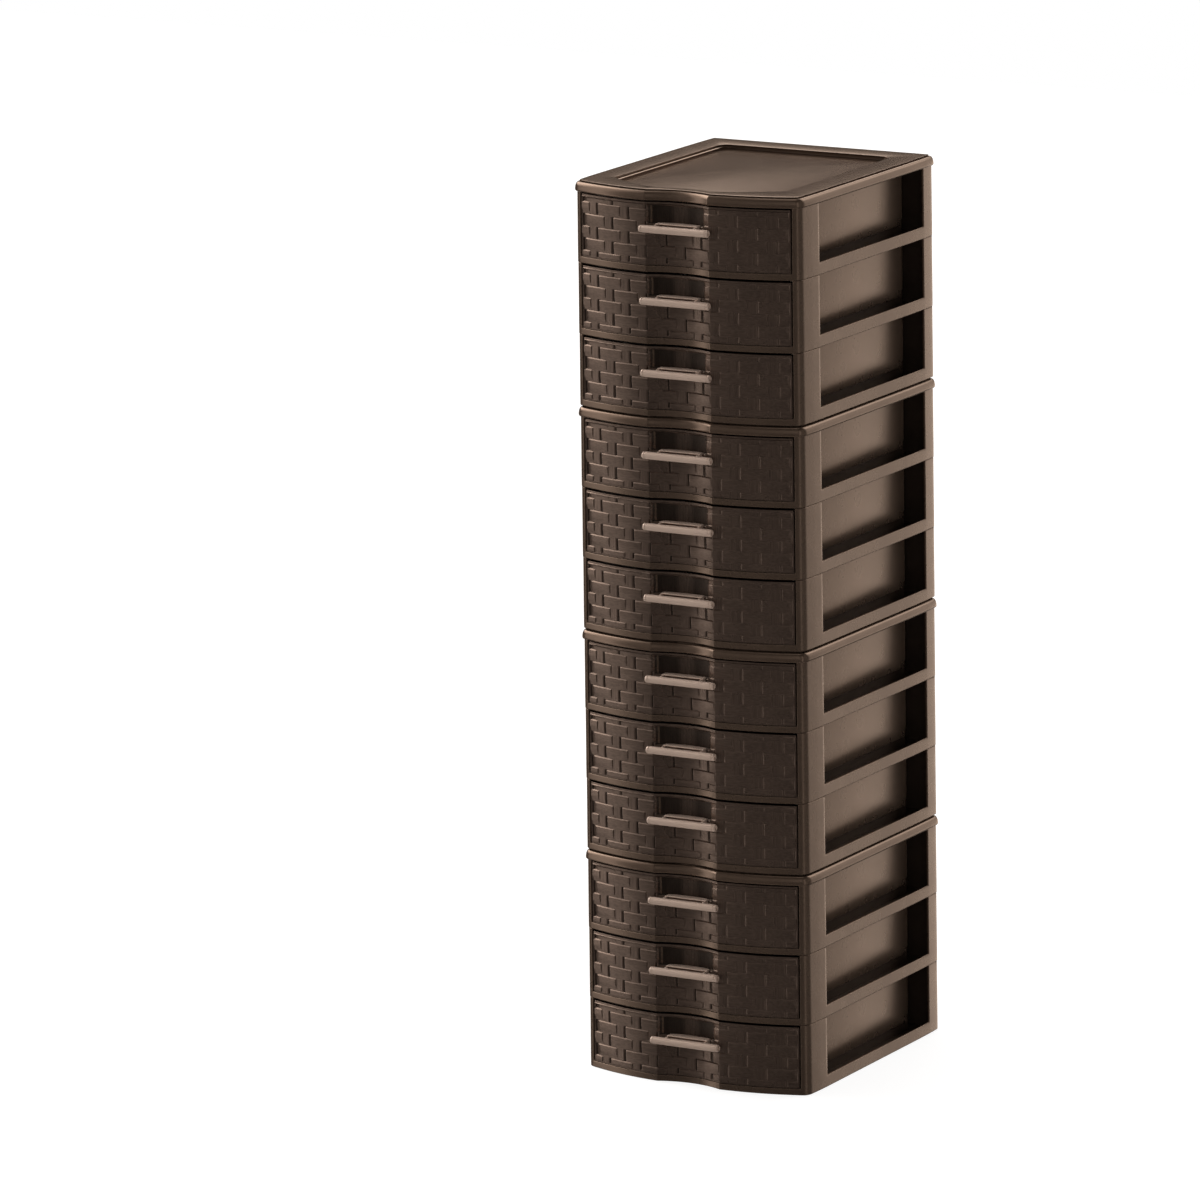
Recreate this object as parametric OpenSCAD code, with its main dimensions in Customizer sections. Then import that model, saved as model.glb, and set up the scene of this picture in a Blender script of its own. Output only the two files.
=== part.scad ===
// Tower of stacked drawer units in moulded plastic. Each unit is three identical open-sided
// frames that plug into each other and carry one drawer each, under a snap-on top cover.
// Front is -Y, +Z is up, and the origin is the middle of the footprint at the base.

/* [Tower] */
// Number of drawer units standing on each other
unit_count = 4; // [1:1:5]
// Number of drawers in one unit
tiers_per_unit = 3; // [1:1:3]
// Height from one drawer to the next in a unit
tier_pitch = 76.5; // [66:0.5:100]

/* [Frame] */
// Outside width of a frame
frame_w = 270; // [240:1:340]
// Depth of a frame, from the ends of the drawer front to the back
frame_depth = 303; // [260:1:400]
// Wall of a frame
wall = 2.6; // [2:0.1:3.4]
// Radius of the two front corners
corner_r = 12; // [10:0.5:16]
// Radius of the two back corners
rear_r = 5; // [4:0.5:12]
// Height of the rail under each side window and along the back
side_rail_h = 13; // [10:0.5:18]
// Height of the rail under each drawer front
front_rail_h = 7; // [5:0.5:9]
// Thickness of the floor of a frame
floor_t = 2; // [1.6:0.1:3]
// Width of the frame showing beside the drawer front
front_border_w = 9; // [8:0.5:14]
// Distance from the drawer front ends back to the side window
front_post_d = 44; // [38:1:60]
// Depth of the post behind the side window
rear_post_d = 25; // [20:1:40]
// Depth of the jamb that closes the front post towards the drawer
jamb_d = 14; // [12:1:20]

/* [Front outline] */
// How far the two ridges of the front stand ahead of its ends
front_bulge = 18; // [10:0.5:26]
// Distance between the ridges, which is the width of the scoop
scoop_w = 75; // [60:1:100]
// Depth of the scoop between the ridges
scoop_depth = 8; // [5:0.5:12]
// Outward curve of the wing beside the scoop
wing_sag = 3.5; // [2:0.5:6]

/* [Drawer] */
// Distance of the drawer front behind the face of the frame
front_inset = 1; // [0.5:0.1:2]
// Thickness of the drawer front
front_t = 3; // [2:0.5:4]
// Depth of the rim folded back round the drawer front
front_rim_d = 6; // [4:0.5:8]
// Thickness of that rim
front_rim_t = 2; // [1.5:0.1:3]
// Overhang of the drawer front past each tray side
front_overhang = 10; // [8:0.5:16]
// Wall and floor of the tray
tray_wall = 1.8; // [1.4:0.1:2.4]
// Radius of the outer bottom edges of the tray
tray_edge_r = 3; // [2:0.5:3.5]
// Radius of the back corners of the tray
tray_corner_r = 10; // [6:1:20]
// Space between the tray and the back wall
tray_rear_space = 26.4; // [20:0.5:40]
// Drop of the tray's rim below the frame above
tray_top_drop = 3; // [2.5:0.5:6]
// Width of the lip along the top of the tray sides
tray_lip_w = 2.5; // [1.5:0.1:4]

/* [Running gear] */
// Height of the runners that carry the tray
runner_h = 20; // [16:0.5:24]
// Width of a runner
runner_w = 8; // [6:0.5:12]
// Distance of each runner in from the tray side
runner_inset = 10; // [8:0.5:20]
// Thickness of the ribs under the tray that straddle a runner
guide_rib_t = 1.6; // [1.2:0.1:2.4]
// Height of the ribs under the tray
guide_rib_h = 3; // [2:0.5:5]
// Distance that a drawer pulls out before its stop
travel = 200; // [120:1:215]
// Width of the pull-out stop
stop_w = 24; // [16:1:40]
// Overlap of the two halves of the pull-out stop
stop_engage = 4; // [3:0.5:5]

/* [Handle] */
// Length of the handle bar
bar_len = 82; // [64:1:110]
// Diameter of the handle bar
bar_d = 9; // [7:0.5:12]
// Height of the bar's middle above the base of its frame
bar_z = 47; // [40:0.5:52]
// Gap between the bar and the ridges
bar_gap = 1.5; // [1:0.1:5]
// Width of the web that joins the bar to the scoop
web_w = 50; // [40:1:56]
// Thickness of the web
web_t = 3.2; // [2.4:0.2:4]
// Diameter of the two snap pegs
peg_d = 5; // [4:0.5:6]
// Distance between the snap pegs
peg_spacing = 30; // [24:1:34]

/* [Cover] */
// Height that the cover adds on top of a unit
cover_rise = 11; // [9:0.5:16]
// Lap of the cover's skirt over the frame below it
skirt_lap = 1.8; // [1:0.1:2]
// Overhang of the cover past the frames
cover_over = 2; // [1.6:0.1:3]
// Thickness of the cover's top
cover_t = 2.4; // [1.8:0.1:3]
// Radius of the cover's rounded upper edge
cover_edge_r = 4; // [2:0.5:5]
// Depth of the recess in the top
recess_d = 5.5; // [3:0.5:6]
// Distance of the recess in from the frame's sides
recess_side = 32; // [24:1:50]
// Distance of the recess in from the frame's back
recess_rear = 36; // [24:1:60]
// Radius of the curved front edge of the recess
recess_front_r = 155; // [120:1:400]
// Distance of the recess behind the scoop at the middle
recess_front = 5; // [4:1:40]

/* [Snap pins] */
// Diameter of the bosses in the frame's corners
boss_d = 10; // [9:0.5:12]
// Diameter of the pins that join one frame to the next
pin_d = 5; // [4:0.5:6]
// Height of those pins
pin_h = 4; // [3:0.5:4.5]

/* [Clearances] */
// Gap at each side of a drawer front
side_gap = 1.5; // [0.8:0.1:2]
// Gap under a drawer front
gap_below = 0.4; // [0.3:0.1:1]
// Gap over a drawer front
gap_above = 2.4; // [2.2:0.1:3]
// Gap between tray and runner, and between tray and stops
slide_gap = 0.3; // [0.2:0.1:0.6]
// Gap beside a runner
guide_gap = 0.6; // [0.4:0.1:1]
// Gap round a pin or peg in its hole
pin_gap = 0.1; // [0.05:0.05:0.3]
// Gap inside the cover's skirt
skirt_gap = 0.3; // [0.2:0.1:0.5]

/* [Hidden] */
frame_colour = "#54453b";
drawer_colour = "#463a33";
handle_colour = "#8c7a70";
cover_colour = "#5a4a40";
// Roundness of long outlines and of small round features
OUTLINE_FN = 180;
SMALL_FN = 48;
// Overlap that joins two shapes of one piece, and how far a cut runs past a surface
SINK = 0.5;
PAST = 1;
// Steps that round the cover's upper edge
EDGE_STEPS = 5;

unit_pitch = tiers_per_unit * tier_pitch + cover_rise;
opening_w = frame_w - 2 * front_border_w;
drawer_w = opening_w - 2 * side_gap;
window_len = frame_depth - front_post_d - rear_post_d;

// Front outline: a convex wing each side, meeting a concave scoop at the ridges
wing_end = [drawer_w / 2, 0];
ridge = [scoop_w / 2, -front_bulge];
wing_chord = norm(wing_end - ridge);
wing_dir = (wing_end - ridge) / wing_chord;
wing_r = (pow(wing_chord, 2) / 4 + pow(wing_sag, 2)) / (2 * wing_sag);
wing_c = (wing_end + ridge) / 2 + [-wing_dir.y, wing_dir.x] * (wing_r - wing_sag);
scoop_r = (pow(scoop_w / 2, 2) + pow(scoop_depth, 2)) / (2 * scoop_depth);
scoop_c = [0, scoop_depth - front_bulge - scoop_r];
corner_x = frame_w / 2 - corner_r;
corner_c = [corner_x, wing_c.y - sqrt(pow(wing_r - corner_r, 2) - pow(corner_x - wing_c.x, 2))];
corner_dir = (corner_c - wing_c) / norm(corner_c - wing_c);

// Drawer
front_z = front_rail_h + gap_below;
front_h = tier_pitch - front_z - gap_above;
tray_w = drawer_w - 2 * front_overhang;
tray_z = runner_h + slide_gap;
tray_h = tier_pitch - tray_top_drop - tray_z;
tray_back = frame_depth - wall - tray_rear_space;

// Running gear
runner_x = tray_w / 2 - runner_inset;
runner_y = front_inset + front_t + front_rim_d + PAST;
runner_len = tray_back + slide_gap - runner_y;
guide_offset = (runner_w + guide_rib_t) / 2 + guide_gap;
stop_t = 3;
end_stop_rise = 8;
end_stop = [runner_w, stop_t, runner_h + end_stop_rise];
stop_rib_y = tray_back - tray_corner_r - stop_t;
stop_block_y = stop_rib_y - travel - slide_gap - stop_t;
stop_top = tray_z - guide_rib_h;
stop_rib_h = guide_rib_h + stop_engage;

// Handle
bar_y = -front_bulge - bar_gap - bar_d / 2;
cap_len = 2.5;
cap_neck = 1;
cap_neck_d = bar_d - 1;
cap_edge = 1;
web_drop = 0.3;
web_top = bar_z + bar_d / 2 - web_drop;
peg_z = web_top - web_t / 2;
peg_head_lap = 0.8;
peg_head_d = peg_d + 2 * peg_head_lap;
peg_head_t = 1.5;
scoop_face_r = scoop_r + front_inset;
scoop_back_r = scoop_face_r + front_t;
scoop_front_y = scoop_c.y + sqrt(pow(scoop_face_r, 2) - pow(peg_spacing / 2, 2));
scoop_back_y = scoop_c.y + sqrt(pow(scoop_back_r, 2) - pow((peg_spacing - peg_head_d) / 2, 2));
peg_len = scoop_back_y + peg_head_t - scoop_front_y + 2 * PAST;

// Cover
cover_h = cover_rise + skirt_lap;

// Corner bosses, sunk a little into the walls behind the posts
boss_sink = 1;
boss_setback = 4;
boss_x = frame_w / 2 - wall - boss_d / 2 + boss_sink;
boss_front_y = front_post_d - boss_d / 2 - boss_setback;
boss_rear_y = frame_depth - wall - boss_d / 2 + boss_sink;

// The origin sits midway between the handles' front and the back of the covers
front_reach = bar_d / 2 - bar_y;
back_reach = frame_depth + cover_over;
mid_y = (back_reach - front_reach) / 2;

// Outline of a frame seen from above, grown outwards by grow (inwards when negative)
module footprint(grow) {
  tangent_x = wing_c.x + (wing_r + grow) * corner_dir.x;
  front_r = max(corner_r + grow, SINK);
  back_r = max(rear_r + grow, SINK);
  difference() {
    union() {
      for (side = [0, 1]) mirror([side, 0]) {
        intersection() {
          translate(wing_c) circle(wing_r + grow, $fn = 2 * OUTLINE_FN);
          translate([-SINK, -2 * front_bulge])
            square([tangent_x + SINK, corner_c.y + SINK + 2 * front_bulge]);
        }
        translate(corner_c) circle(front_r, $fn = OUTLINE_FN);
        translate([-SINK, corner_c.y])
          square([frame_w / 2 + grow + SINK, frame_depth + grow - back_r - corner_c.y]);
        translate([-SINK, corner_c.y])
          square([frame_w / 2 + grow - back_r + SINK, frame_depth + grow - corner_c.y]);
        translate([frame_w / 2 + grow - back_r, frame_depth + grow - back_r])
          circle(back_r, $fn = OUTLINE_FN);
      }
    }
    translate(scoop_c) circle(scoop_r - grow, $fn = 2 * OUTLINE_FN);
  }
}

// Band that follows the outline between two offsets
module band(outer, inner) {
  difference() {
    footprint(outer);
    footprint(inner);
  }
}

// Strip across the front, half_w to each side of the middle
module front_strip(half_w) {
  translate([-half_w, -2 * front_bulge])
    square([2 * half_w, corner_c.y + 2 * front_bulge]);
}

// Moves a piece to its unit and tier
module placed(u, t) {
  translate([0, -mid_y, (u - 1) * unit_pitch + (t - 1) * tier_pitch]) children();
}

// Copies a piece to each of the four corner bosses
module at_bosses() {
  for (x = [-boss_x, boss_x], y = [boss_front_y, boss_rear_y]) translate([x, y, 0]) children();
}

// Outer walls with the drawer opening and the side windows cut out
module frame_walls() {
  difference() {
    linear_extrude(tier_pitch) band(0, -wall);
    translate([0, 0, front_rail_h]) linear_extrude(tier_pitch) front_strip(opening_w / 2);
    for (side = [0, 1]) mirror([side, 0, 0])
      translate([frame_w / 2 - 2 * wall, front_post_d, side_rail_h])
        cube([3 * wall, window_len, tier_pitch]);
  }
}

// Plates that close the front posts beside the drawer front
module frame_jambs() {
  for (side = [0, 1]) mirror([side, 0, 0])
    linear_extrude(tier_pitch) intersection() {
      footprint(0);
      translate([opening_w / 2, -front_bulge]) square([wall, front_bulge + jamb_d]);
    }
}

// Runners with their end stops, and the block that stops a drawer pulled out
module frame_running_gear() {
  for (side = [0, 1]) mirror([side, 0, 0]) {
    translate([runner_x - runner_w / 2, runner_y, 0]) cube([runner_w, runner_len, runner_h]);
    translate([runner_x - runner_w / 2, tray_back + slide_gap, 0]) cube(end_stop);
  }
  translate([-stop_w / 2, stop_block_y, 0]) cube([stop_w, stop_t, stop_top]);
}

module tier_frame(u, t) {
  color(frame_colour) placed(u, t) {
    difference() {
      union() {
        linear_extrude(floor_t) footprint(-SINK);
        frame_walls();
        frame_jambs();
        frame_running_gear();
        at_bosses() cylinder(d = boss_d, h = tier_pitch, $fn = SMALL_FN);
      }
      at_bosses() translate([0, 0, -PAST])
        cylinder(d = pin_d + 2 * pin_gap, h = pin_h + 2 * PAST, $fn = SMALL_FN);
    }
    at_bosses() translate([0, 0, tier_pitch - SINK])
      cylinder(d = pin_d, h = pin_h + SINK, $fn = SMALL_FN);
  }
}

// Plan of the tray, inset from its outer faces and from the frame's outline in front
module tray_plan(inset, outline_inset) {
  half_w = tray_w / 2 - inset;
  back = tray_back - inset;
  r = tray_corner_r - inset;
  intersection() {
    footprint(-outline_inset);
    union() {
      translate([-half_w, -2 * front_bulge]) square([2 * half_w, back - r + 2 * front_bulge]);
      translate([r - half_w, -2 * front_bulge]) square([2 * (half_w - r), back + 2 * front_bulge]);
      for (x = [r - half_w, half_w - r]) translate([x, back - r]) circle(r, $fn = SMALL_FN);
    }
  }
}

// Solid block of the tray, with its long bottom edges rounded
module tray_block() {
  half_w = tray_w / 2;
  r = tray_edge_r;
  intersection() {
    translate([0, 0, tray_z]) linear_extrude(tray_h) tray_plan(0, front_inset + SINK);
    translate([0, tray_back + PAST, tray_z]) rotate([90, 0, 0])
      linear_extrude(tray_back + 2 * front_bulge + PAST) {
        translate([r - half_w, 0]) square([2 * (half_w - r), tray_h]);
        translate([-half_w, r]) square([2 * half_w, tray_h - r]);
        for (x = [r - half_w, half_w - r]) translate([x, r]) circle(r, $fn = SMALL_FN);
      }
  }
}

// Drawer front with the rim folded back all round it
module drawer_front() {
  back = -front_inset - front_t;
  translate([0, 0, front_z]) {
    linear_extrude(front_h) intersection() {
      band(-front_inset, back);
      front_strip(drawer_w / 2);
    }
    for (z = [0, front_h - front_rim_t]) translate([0, 0, z])
      linear_extrude(front_rim_t) intersection() {
        band(-front_inset, back - front_rim_d);
        front_strip(drawer_w / 2);
      }
    for (side = [0, 1]) mirror([side, 0, 0]) linear_extrude(front_h) intersection() {
      footprint(-front_inset);
      translate([drawer_w / 2 - front_rim_t, -front_bulge])
        square([front_rim_t, front_bulge + front_inset + front_t + front_rim_d]);
    }
  }
}

// Ribs that straddle the runners, and the rib that meets the stop block
module tray_underside() {
  for (side = [0, 1], off = [-1, 1]) mirror([side, 0, 0])
    translate([runner_x + off * guide_offset - guide_rib_t / 2, runner_y, tray_z - guide_rib_h])
      cube([guide_rib_t, stop_rib_y - runner_y, guide_rib_h + SINK]);
  translate([-stop_w / 2, stop_rib_y, tray_z - stop_rib_h])
    cube([stop_w, stop_t, stop_rib_h + SINK]);
}

module drawer(u, t) {
  color(drawer_colour) placed(u, t) {
    difference() {
      union() {
        drawer_front();
        tray_block();
        tray_underside();
        translate([0, 0, tray_z + tray_h - tray_wall]) linear_extrude(tray_wall) intersection() {
          footprint(-front_inset - SINK);
          translate([-tray_w / 2 - tray_lip_w, 0])
            square([tray_w + 2 * tray_lip_w, tray_back - tray_corner_r]);
        }
      }
      translate([0, 0, tray_z + tray_wall]) linear_extrude(tray_h)
        tray_plan(tray_wall, front_inset + front_t);
      for (x = [-peg_spacing / 2, peg_spacing / 2]) translate([x, 0, peg_z]) rotate([90, 0, 0])
        cylinder(d = peg_d + 2 * pin_gap, h = 2 * front_bulge, $fn = SMALL_FN);
    }
  }
}

// Bar with an end cap behind a narrow neck at each end
module handle_bar() {
  grip_len = bar_len - 2 * (cap_len + cap_neck);
  translate([0, bar_y, bar_z]) rotate([0, 90, 0]) {
    cylinder(d = bar_d, h = grip_len, center = true, $fn = SMALL_FN);
    cylinder(d = cap_neck_d, h = bar_len - 2 * cap_edge, center = true, $fn = SMALL_FN);
    for (side = [0, 1]) mirror([0, 0, side]) translate([0, 0, bar_len / 2 - cap_len]) {
      cylinder(d = bar_d, h = cap_len - cap_edge, $fn = SMALL_FN);
      translate([0, 0, cap_len - cap_edge])
        cylinder(d1 = bar_d, d2 = bar_d - 2 * cap_edge, h = cap_edge, $fn = SMALL_FN);
    }
  }
}

module handle(u, t) {
  color(handle_colour) placed(u, t) {
    handle_bar();
    translate([0, 0, web_top - web_t]) linear_extrude(web_t) difference() {
      translate([-web_w / 2, bar_y]) square([web_w, -bar_y]);
      footprint(-front_inset);
    }
    for (x = [-peg_spacing / 2, peg_spacing / 2]) translate([x, 0, peg_z]) {
      translate([0, scoop_back_y + peg_head_t, 0]) rotate([90, 0, 0]) {
        cylinder(d = peg_d, h = peg_len, $fn = SMALL_FN);
        cylinder(d = peg_head_d, h = peg_head_t, $fn = SMALL_FN);
      }
    }
  }
}

// Plan of the recess in the cover, grown outwards by grow
module recess_plan(grow) {
  half_w = frame_w / 2 - recess_side + grow;
  arc_c = [0, scoop_depth - front_bulge + recess_front + recess_front_r];
  back = frame_depth - recess_rear + grow;
  r = corner_r + grow;
  intersection() {
    union() {
      translate([-half_w, -front_bulge]) square([2 * half_w, back - r + front_bulge]);
      translate([r - half_w, -front_bulge]) square([2 * (half_w - r), back + front_bulge]);
      for (x = [r - half_w, half_w - r]) translate([x, back - r]) circle(r, $fn = SMALL_FN);
    }
    union() {
      translate(arc_c) circle(recess_front_r + grow, $fn = OUTLINE_FN);
      translate([-half_w, arc_c.y]) square([2 * half_w, frame_depth]);
    }
  }
}

// Body of the cover, its upper edge rounded in steps
module cover_block() {
  step = cover_edge_r / EDGE_STEPS;
  for (i = [0 : EDGE_STEPS - 1])
    linear_extrude(cover_h - cover_edge_r + (i + 1) * step)
      footprint(cover_over - cover_edge_r + sqrt(pow(cover_edge_r, 2) - pow(i * step, 2)));
}

module cover(u) {
  color(cover_colour) placed(u, tiers_per_unit + 1) translate([0, 0, -skirt_lap]) {
    difference() {
      cover_block();
      translate([0, 0, -PAST]) linear_extrude(skirt_lap + PAST) footprint(skirt_gap);
      difference() {
        translate([0, 0, skirt_lap - SINK])
          linear_extrude(cover_h - cover_t - skirt_lap + SINK) footprint(-wall);
        translate([0, 0, cover_h - recess_d - cover_t])
          linear_extrude(recess_d + cover_t) recess_plan(cover_t);
        at_bosses() cylinder(d = boss_d, h = cover_h, $fn = SMALL_FN);
      }
      translate([0, 0, cover_h - recess_d]) linear_extrude(recess_d + PAST) recess_plan(0);
      at_bosses() translate([0, 0, -PAST])
        cylinder(d = pin_d + 2 * pin_gap, h = skirt_lap + pin_h + 2 * PAST, $fn = SMALL_FN);
    }
  }
}

for (u = [1 : unit_count]) {
  cover(u);
  for (t = [1 : tiers_per_unit]) {
    tier_frame(u, t);
    drawer(u, t);
    handle(u, t);
  }
}
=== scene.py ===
"""Looks of the drawer tower: moulded shells, woven drawer fronts, handles, covers, studio and camera."""
import math

import bpy
import bmesh
from mathutils import Matrix, Vector


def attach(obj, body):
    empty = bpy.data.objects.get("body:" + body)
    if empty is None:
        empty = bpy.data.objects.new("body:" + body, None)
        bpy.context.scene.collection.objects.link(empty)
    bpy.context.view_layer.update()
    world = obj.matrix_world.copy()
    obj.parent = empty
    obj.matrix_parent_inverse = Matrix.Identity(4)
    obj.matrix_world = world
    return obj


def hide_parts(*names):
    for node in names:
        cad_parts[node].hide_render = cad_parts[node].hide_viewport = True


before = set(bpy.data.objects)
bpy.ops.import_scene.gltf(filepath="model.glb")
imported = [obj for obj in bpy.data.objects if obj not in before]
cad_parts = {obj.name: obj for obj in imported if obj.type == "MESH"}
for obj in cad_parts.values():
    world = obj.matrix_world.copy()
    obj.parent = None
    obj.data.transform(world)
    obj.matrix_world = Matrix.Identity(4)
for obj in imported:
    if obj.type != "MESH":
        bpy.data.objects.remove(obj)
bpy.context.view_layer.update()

MM = 0.001

# ---------------------------------------------------------------- sizes in mm, as in the CAD source
UNITS, TIERS = 4, 3
TIER_PITCH = 76.5
COVER_RISE = 11.0
UNIT_PITCH = TIERS * TIER_PITCH + COVER_RISE
FRAME_W, FRAME_D = 270.0, 303.0
WALL = 2.6
CORNER_R, REAR_R = 12.0, 5.0
SIDE_RAIL_H, FRONT_RAIL_H = 13.0, 7.0
FLOOR_T = 2.0
POST_W = 9.0                               # from the frame's side to the opening for the drawer
DRAWER_GAP, SLIDE_GAP, GUIDE_GAP = 1.5, 0.3, 0.6
TRAVEL = 200.0
OPENING_HALF = FRAME_W / 2 - POST_W
DRAWER_HALF = OPENING_HALF - DRAWER_GAP
WINDOW_Y0, WINDOW_Y1 = 44.0, 278.0
JAMB_D = 14.0
BULGE, SCOOP_HALF, SCOOP_DEPTH, WING_SAG = 18.0, 37.5, 8.0, 3.5
FRONT_INSET, FRONT_T, RIM_D, RIM_T = 1.0, 3.0, 6.0, 2.0
FRONT_LOW_GAP, FRONT_TOP_GAP = 0.4, 2.4
FRONT_Z0, FRONT_Z1 = FRONT_RAIL_H + FRONT_LOW_GAP, TIER_PITCH - FRONT_TOP_GAP
RUNNER_H, RUNNER_W, RUNNER_INSET, RUNNER_LEAD = 20.0, 8.0, 10.0, 1.0
TRAY_INSET, TRAY_TOP_GAP, TRAY_REAR_GAP = 10.0, 3.0, 26.4
TRAY_HALF = DRAWER_HALF - TRAY_INSET
TRAY_WALL, TRAY_EDGE_R, TRAY_CORNER_R, TRAY_LIP = 1.8, 3.0, 10.0, 2.5
TRAY_Z0, TRAY_Z1 = RUNNER_H + SLIDE_GAP, TIER_PITCH - TRAY_TOP_GAP
TRAY_BACK = FRAME_D - WALL - TRAY_REAR_GAP
RUNNER_X = TRAY_HALF - RUNNER_INSET
RUNNER_Y = FRONT_INSET + FRONT_T + RIM_D + RUNNER_LEAD
STOP_T, STOP_W, REAR_STOP_H = 3.0, 24.0, 8.0
STOP_RIB_Y = TRAY_BACK - TRAY_CORNER_R - STOP_T
STOP_BLOCK_Y = STOP_RIB_Y - TRAVEL - SLIDE_GAP - STOP_T
GUIDE_RIB_T, GUIDE_RIB_H = 1.6, 3.0
GUIDE_OFFSET = (RUNNER_W + GUIDE_RIB_T) / 2 + GUIDE_GAP
BAR_LEN, BAR_D, BAR_Z = 82.0, 8.0, 46.8
BAR_Y = -24.0                              # axis of the bar, as in the CAD, where it is 9 mm thick
WEB_HALF, WEB_T, WEB_RISE = 25.0, 3.6, 0.75
WEB_TOP = BAR_Z + BAR_D / 2 + WEB_RISE
COVER_LAP, COVER_OVER, COVER_EDGE_R, RECESS_D = 1.8, 2.0, 4.0, 5.5
COVER_H = COVER_RISE + COVER_LAP
RECESS_SIDE, RECESS_REAR, RECESS_FRONT, RECESS_FRONT_R = 32.0, 36.0, 5.0, 155.0
RECESS_CORNER_R, RECESS_REAR_R = 8.0, 12.0
BOSS_D, BOSS_SINK, BOSS_GAP = 10.0, 1.0, 4.0
BOSS_X = FRAME_W / 2 - WALL - BOSS_D / 2 + BOSS_SINK
BOSS_Y = (WINDOW_Y0 - BOSS_D / 2 - BOSS_GAP, FRAME_D - WALL - BOSS_D / 2 + BOSS_SINK)
MID_Y = 138.25                             # the frame's origin, from the CAD's own front and back reach

# ---------------------------------------------------------------- small forms that only the looks have
RIDGE_R = 2.0                              # rounding of the ridges beside the scoop
REAR_BOW, REAR_BOW_Y = 1.4, 258.0          # the side walls turn in a little towards the back
FRONT_BOW, FRONT_BOW_Y = 1.0, 46.0         # and towards the front corners
DRAFT = 0.35                               # a frame leans in by this much towards its top
RAIL_EDGE = 0.9                            # bevel of the edges of rails and posts
SKIRT_Z0 = 15.0                            # a tray's sides reach below its floor, outside the runners
RIM_STEP, NOSE_H, DOME = 1.8, 8.0, 5.0     # a cover's edge below its plate, its round edge, its dome
DOME_MID_Y = 135.0


# ---------------------------------------------------------------- outline of the frame in plan
def unit(v):
    return v / v.length


def direction(a):
    return Vector((math.cos(a), math.sin(a)))


def quarter(steps):
    """Angles of a quarter turn, from 0 to 90 degrees."""
    return [math.pi / 2 * i / steps for i in range(steps + 1)]


def smoothstep(a, b, x):
    t = min(max((x - a) / (b - a), 0.0), 1.0)
    return t * t * (3 - 2 * t)


def circles_cross(c0, r0, c1, r1, want):
    """The crossing of two circles that lies nearest to want."""
    d = (c1 - c0).length
    a = (r0 * r0 - r1 * r1 + d * d) / (2 * d)
    h = math.sqrt(max(r0 * r0 - a * a, 0))
    along = (c1 - c0) / d
    side = Vector((-along.y, along.x))
    return min((c0 + along * a + side * h, c0 + along * a - side * h), key=lambda p: (p - want).length)


wing_end, ridge = Vector((DRAWER_HALF, 0)), Vector((SCOOP_HALF, -BULGE))
chord = (wing_end - ridge).length
wing_dir = (wing_end - ridge) / chord
WING_R = (chord ** 2 / 4 + WING_SAG ** 2) / (2 * WING_SAG)
WING_C = (wing_end + ridge) / 2 + Vector((-wing_dir.y, wing_dir.x)) * (WING_R - WING_SAG)
SCOOP_R = (SCOOP_HALF ** 2 + SCOOP_DEPTH ** 2) / (2 * SCOOP_DEPTH)
SCOOP_C = Vector((0, SCOOP_DEPTH - BULGE - SCOOP_R))
CORNER_C = Vector((FRAME_W / 2 - CORNER_R, 0))
CORNER_C.y = WING_C.y - math.sqrt((WING_R - CORNER_R) ** 2 - (CORNER_C.x - WING_C.x) ** 2)
RIDGE_C = circles_cross(WING_C, WING_R - RIDGE_R, SCOOP_C, SCOOP_R + RIDGE_R, ridge)
SCOOP_END_X = (SCOOP_C + (RIDGE_C - SCOOP_C) * SCOOP_R / (SCOOP_R + RIDGE_R)).x
WING_START_X = (WING_C + (RIDGE_C - WING_C) * WING_R / (WING_R - RIDGE_R)).x
WING_END_X = (WING_C + (CORNER_C - WING_C) * WING_R / (WING_R - CORNER_R)).x

TURN_STEPS = 8                             # faces round a corner of the outline
CORNER_YS = (8, 16)                        # points behind the front corner's centre
REAR_YS = (282, 286, 290, 294)             # points where the side walls turn in at the back

# x of the points of the front outline, closest together at the ridge
RIDGE_REACH = 3
SCOOP_XS = [SCOOP_HALF * i / 12 for i in range(11)]
RIDGE_XS = [32.5 + 0.6 * i for i in range(11)]
WING_XS = [SCOOP_HALF + RIDGE_REACH + (OPENING_HALF - SCOOP_HALF - RIDGE_REACH) * i / 22 for i in range(23)]
FRONT_XS = sorted(set(SCOOP_XS + RIDGE_XS + WING_XS))


def front_point(x):
    """Point of the front outline at x >= 0 and its outward normal, with the ridge rounded."""
    if x <= SCOOP_END_X:
        p = Vector((x, SCOOP_C.y + math.sqrt(SCOOP_R ** 2 - x * x)))
        return p, unit(SCOOP_C - p)
    if x <= WING_START_X:
        p = Vector((x, RIDGE_C.y - math.sqrt(RIDGE_R ** 2 - (x - RIDGE_C.x) ** 2)))
        return p, unit(p - RIDGE_C)
    if x <= WING_END_X:
        p = Vector((x, WING_C.y - math.sqrt(WING_R ** 2 - (x - WING_C.x) ** 2)))
        return p, unit(p - WING_C)
    p = Vector((x, CORNER_C.y - math.sqrt(max(CORNER_R ** 2 - (x - CORNER_C.x) ** 2, 0))))
    return p, unit(p - CORNER_C)


def signed_front(x):
    """Point and normal of the front outline on either side of the middle."""
    p, n = front_point(abs(x))
    return (p, n) if x >= 0 else (p * Vector((-1, 1)), n * Vector((-1, 1)))


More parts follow.
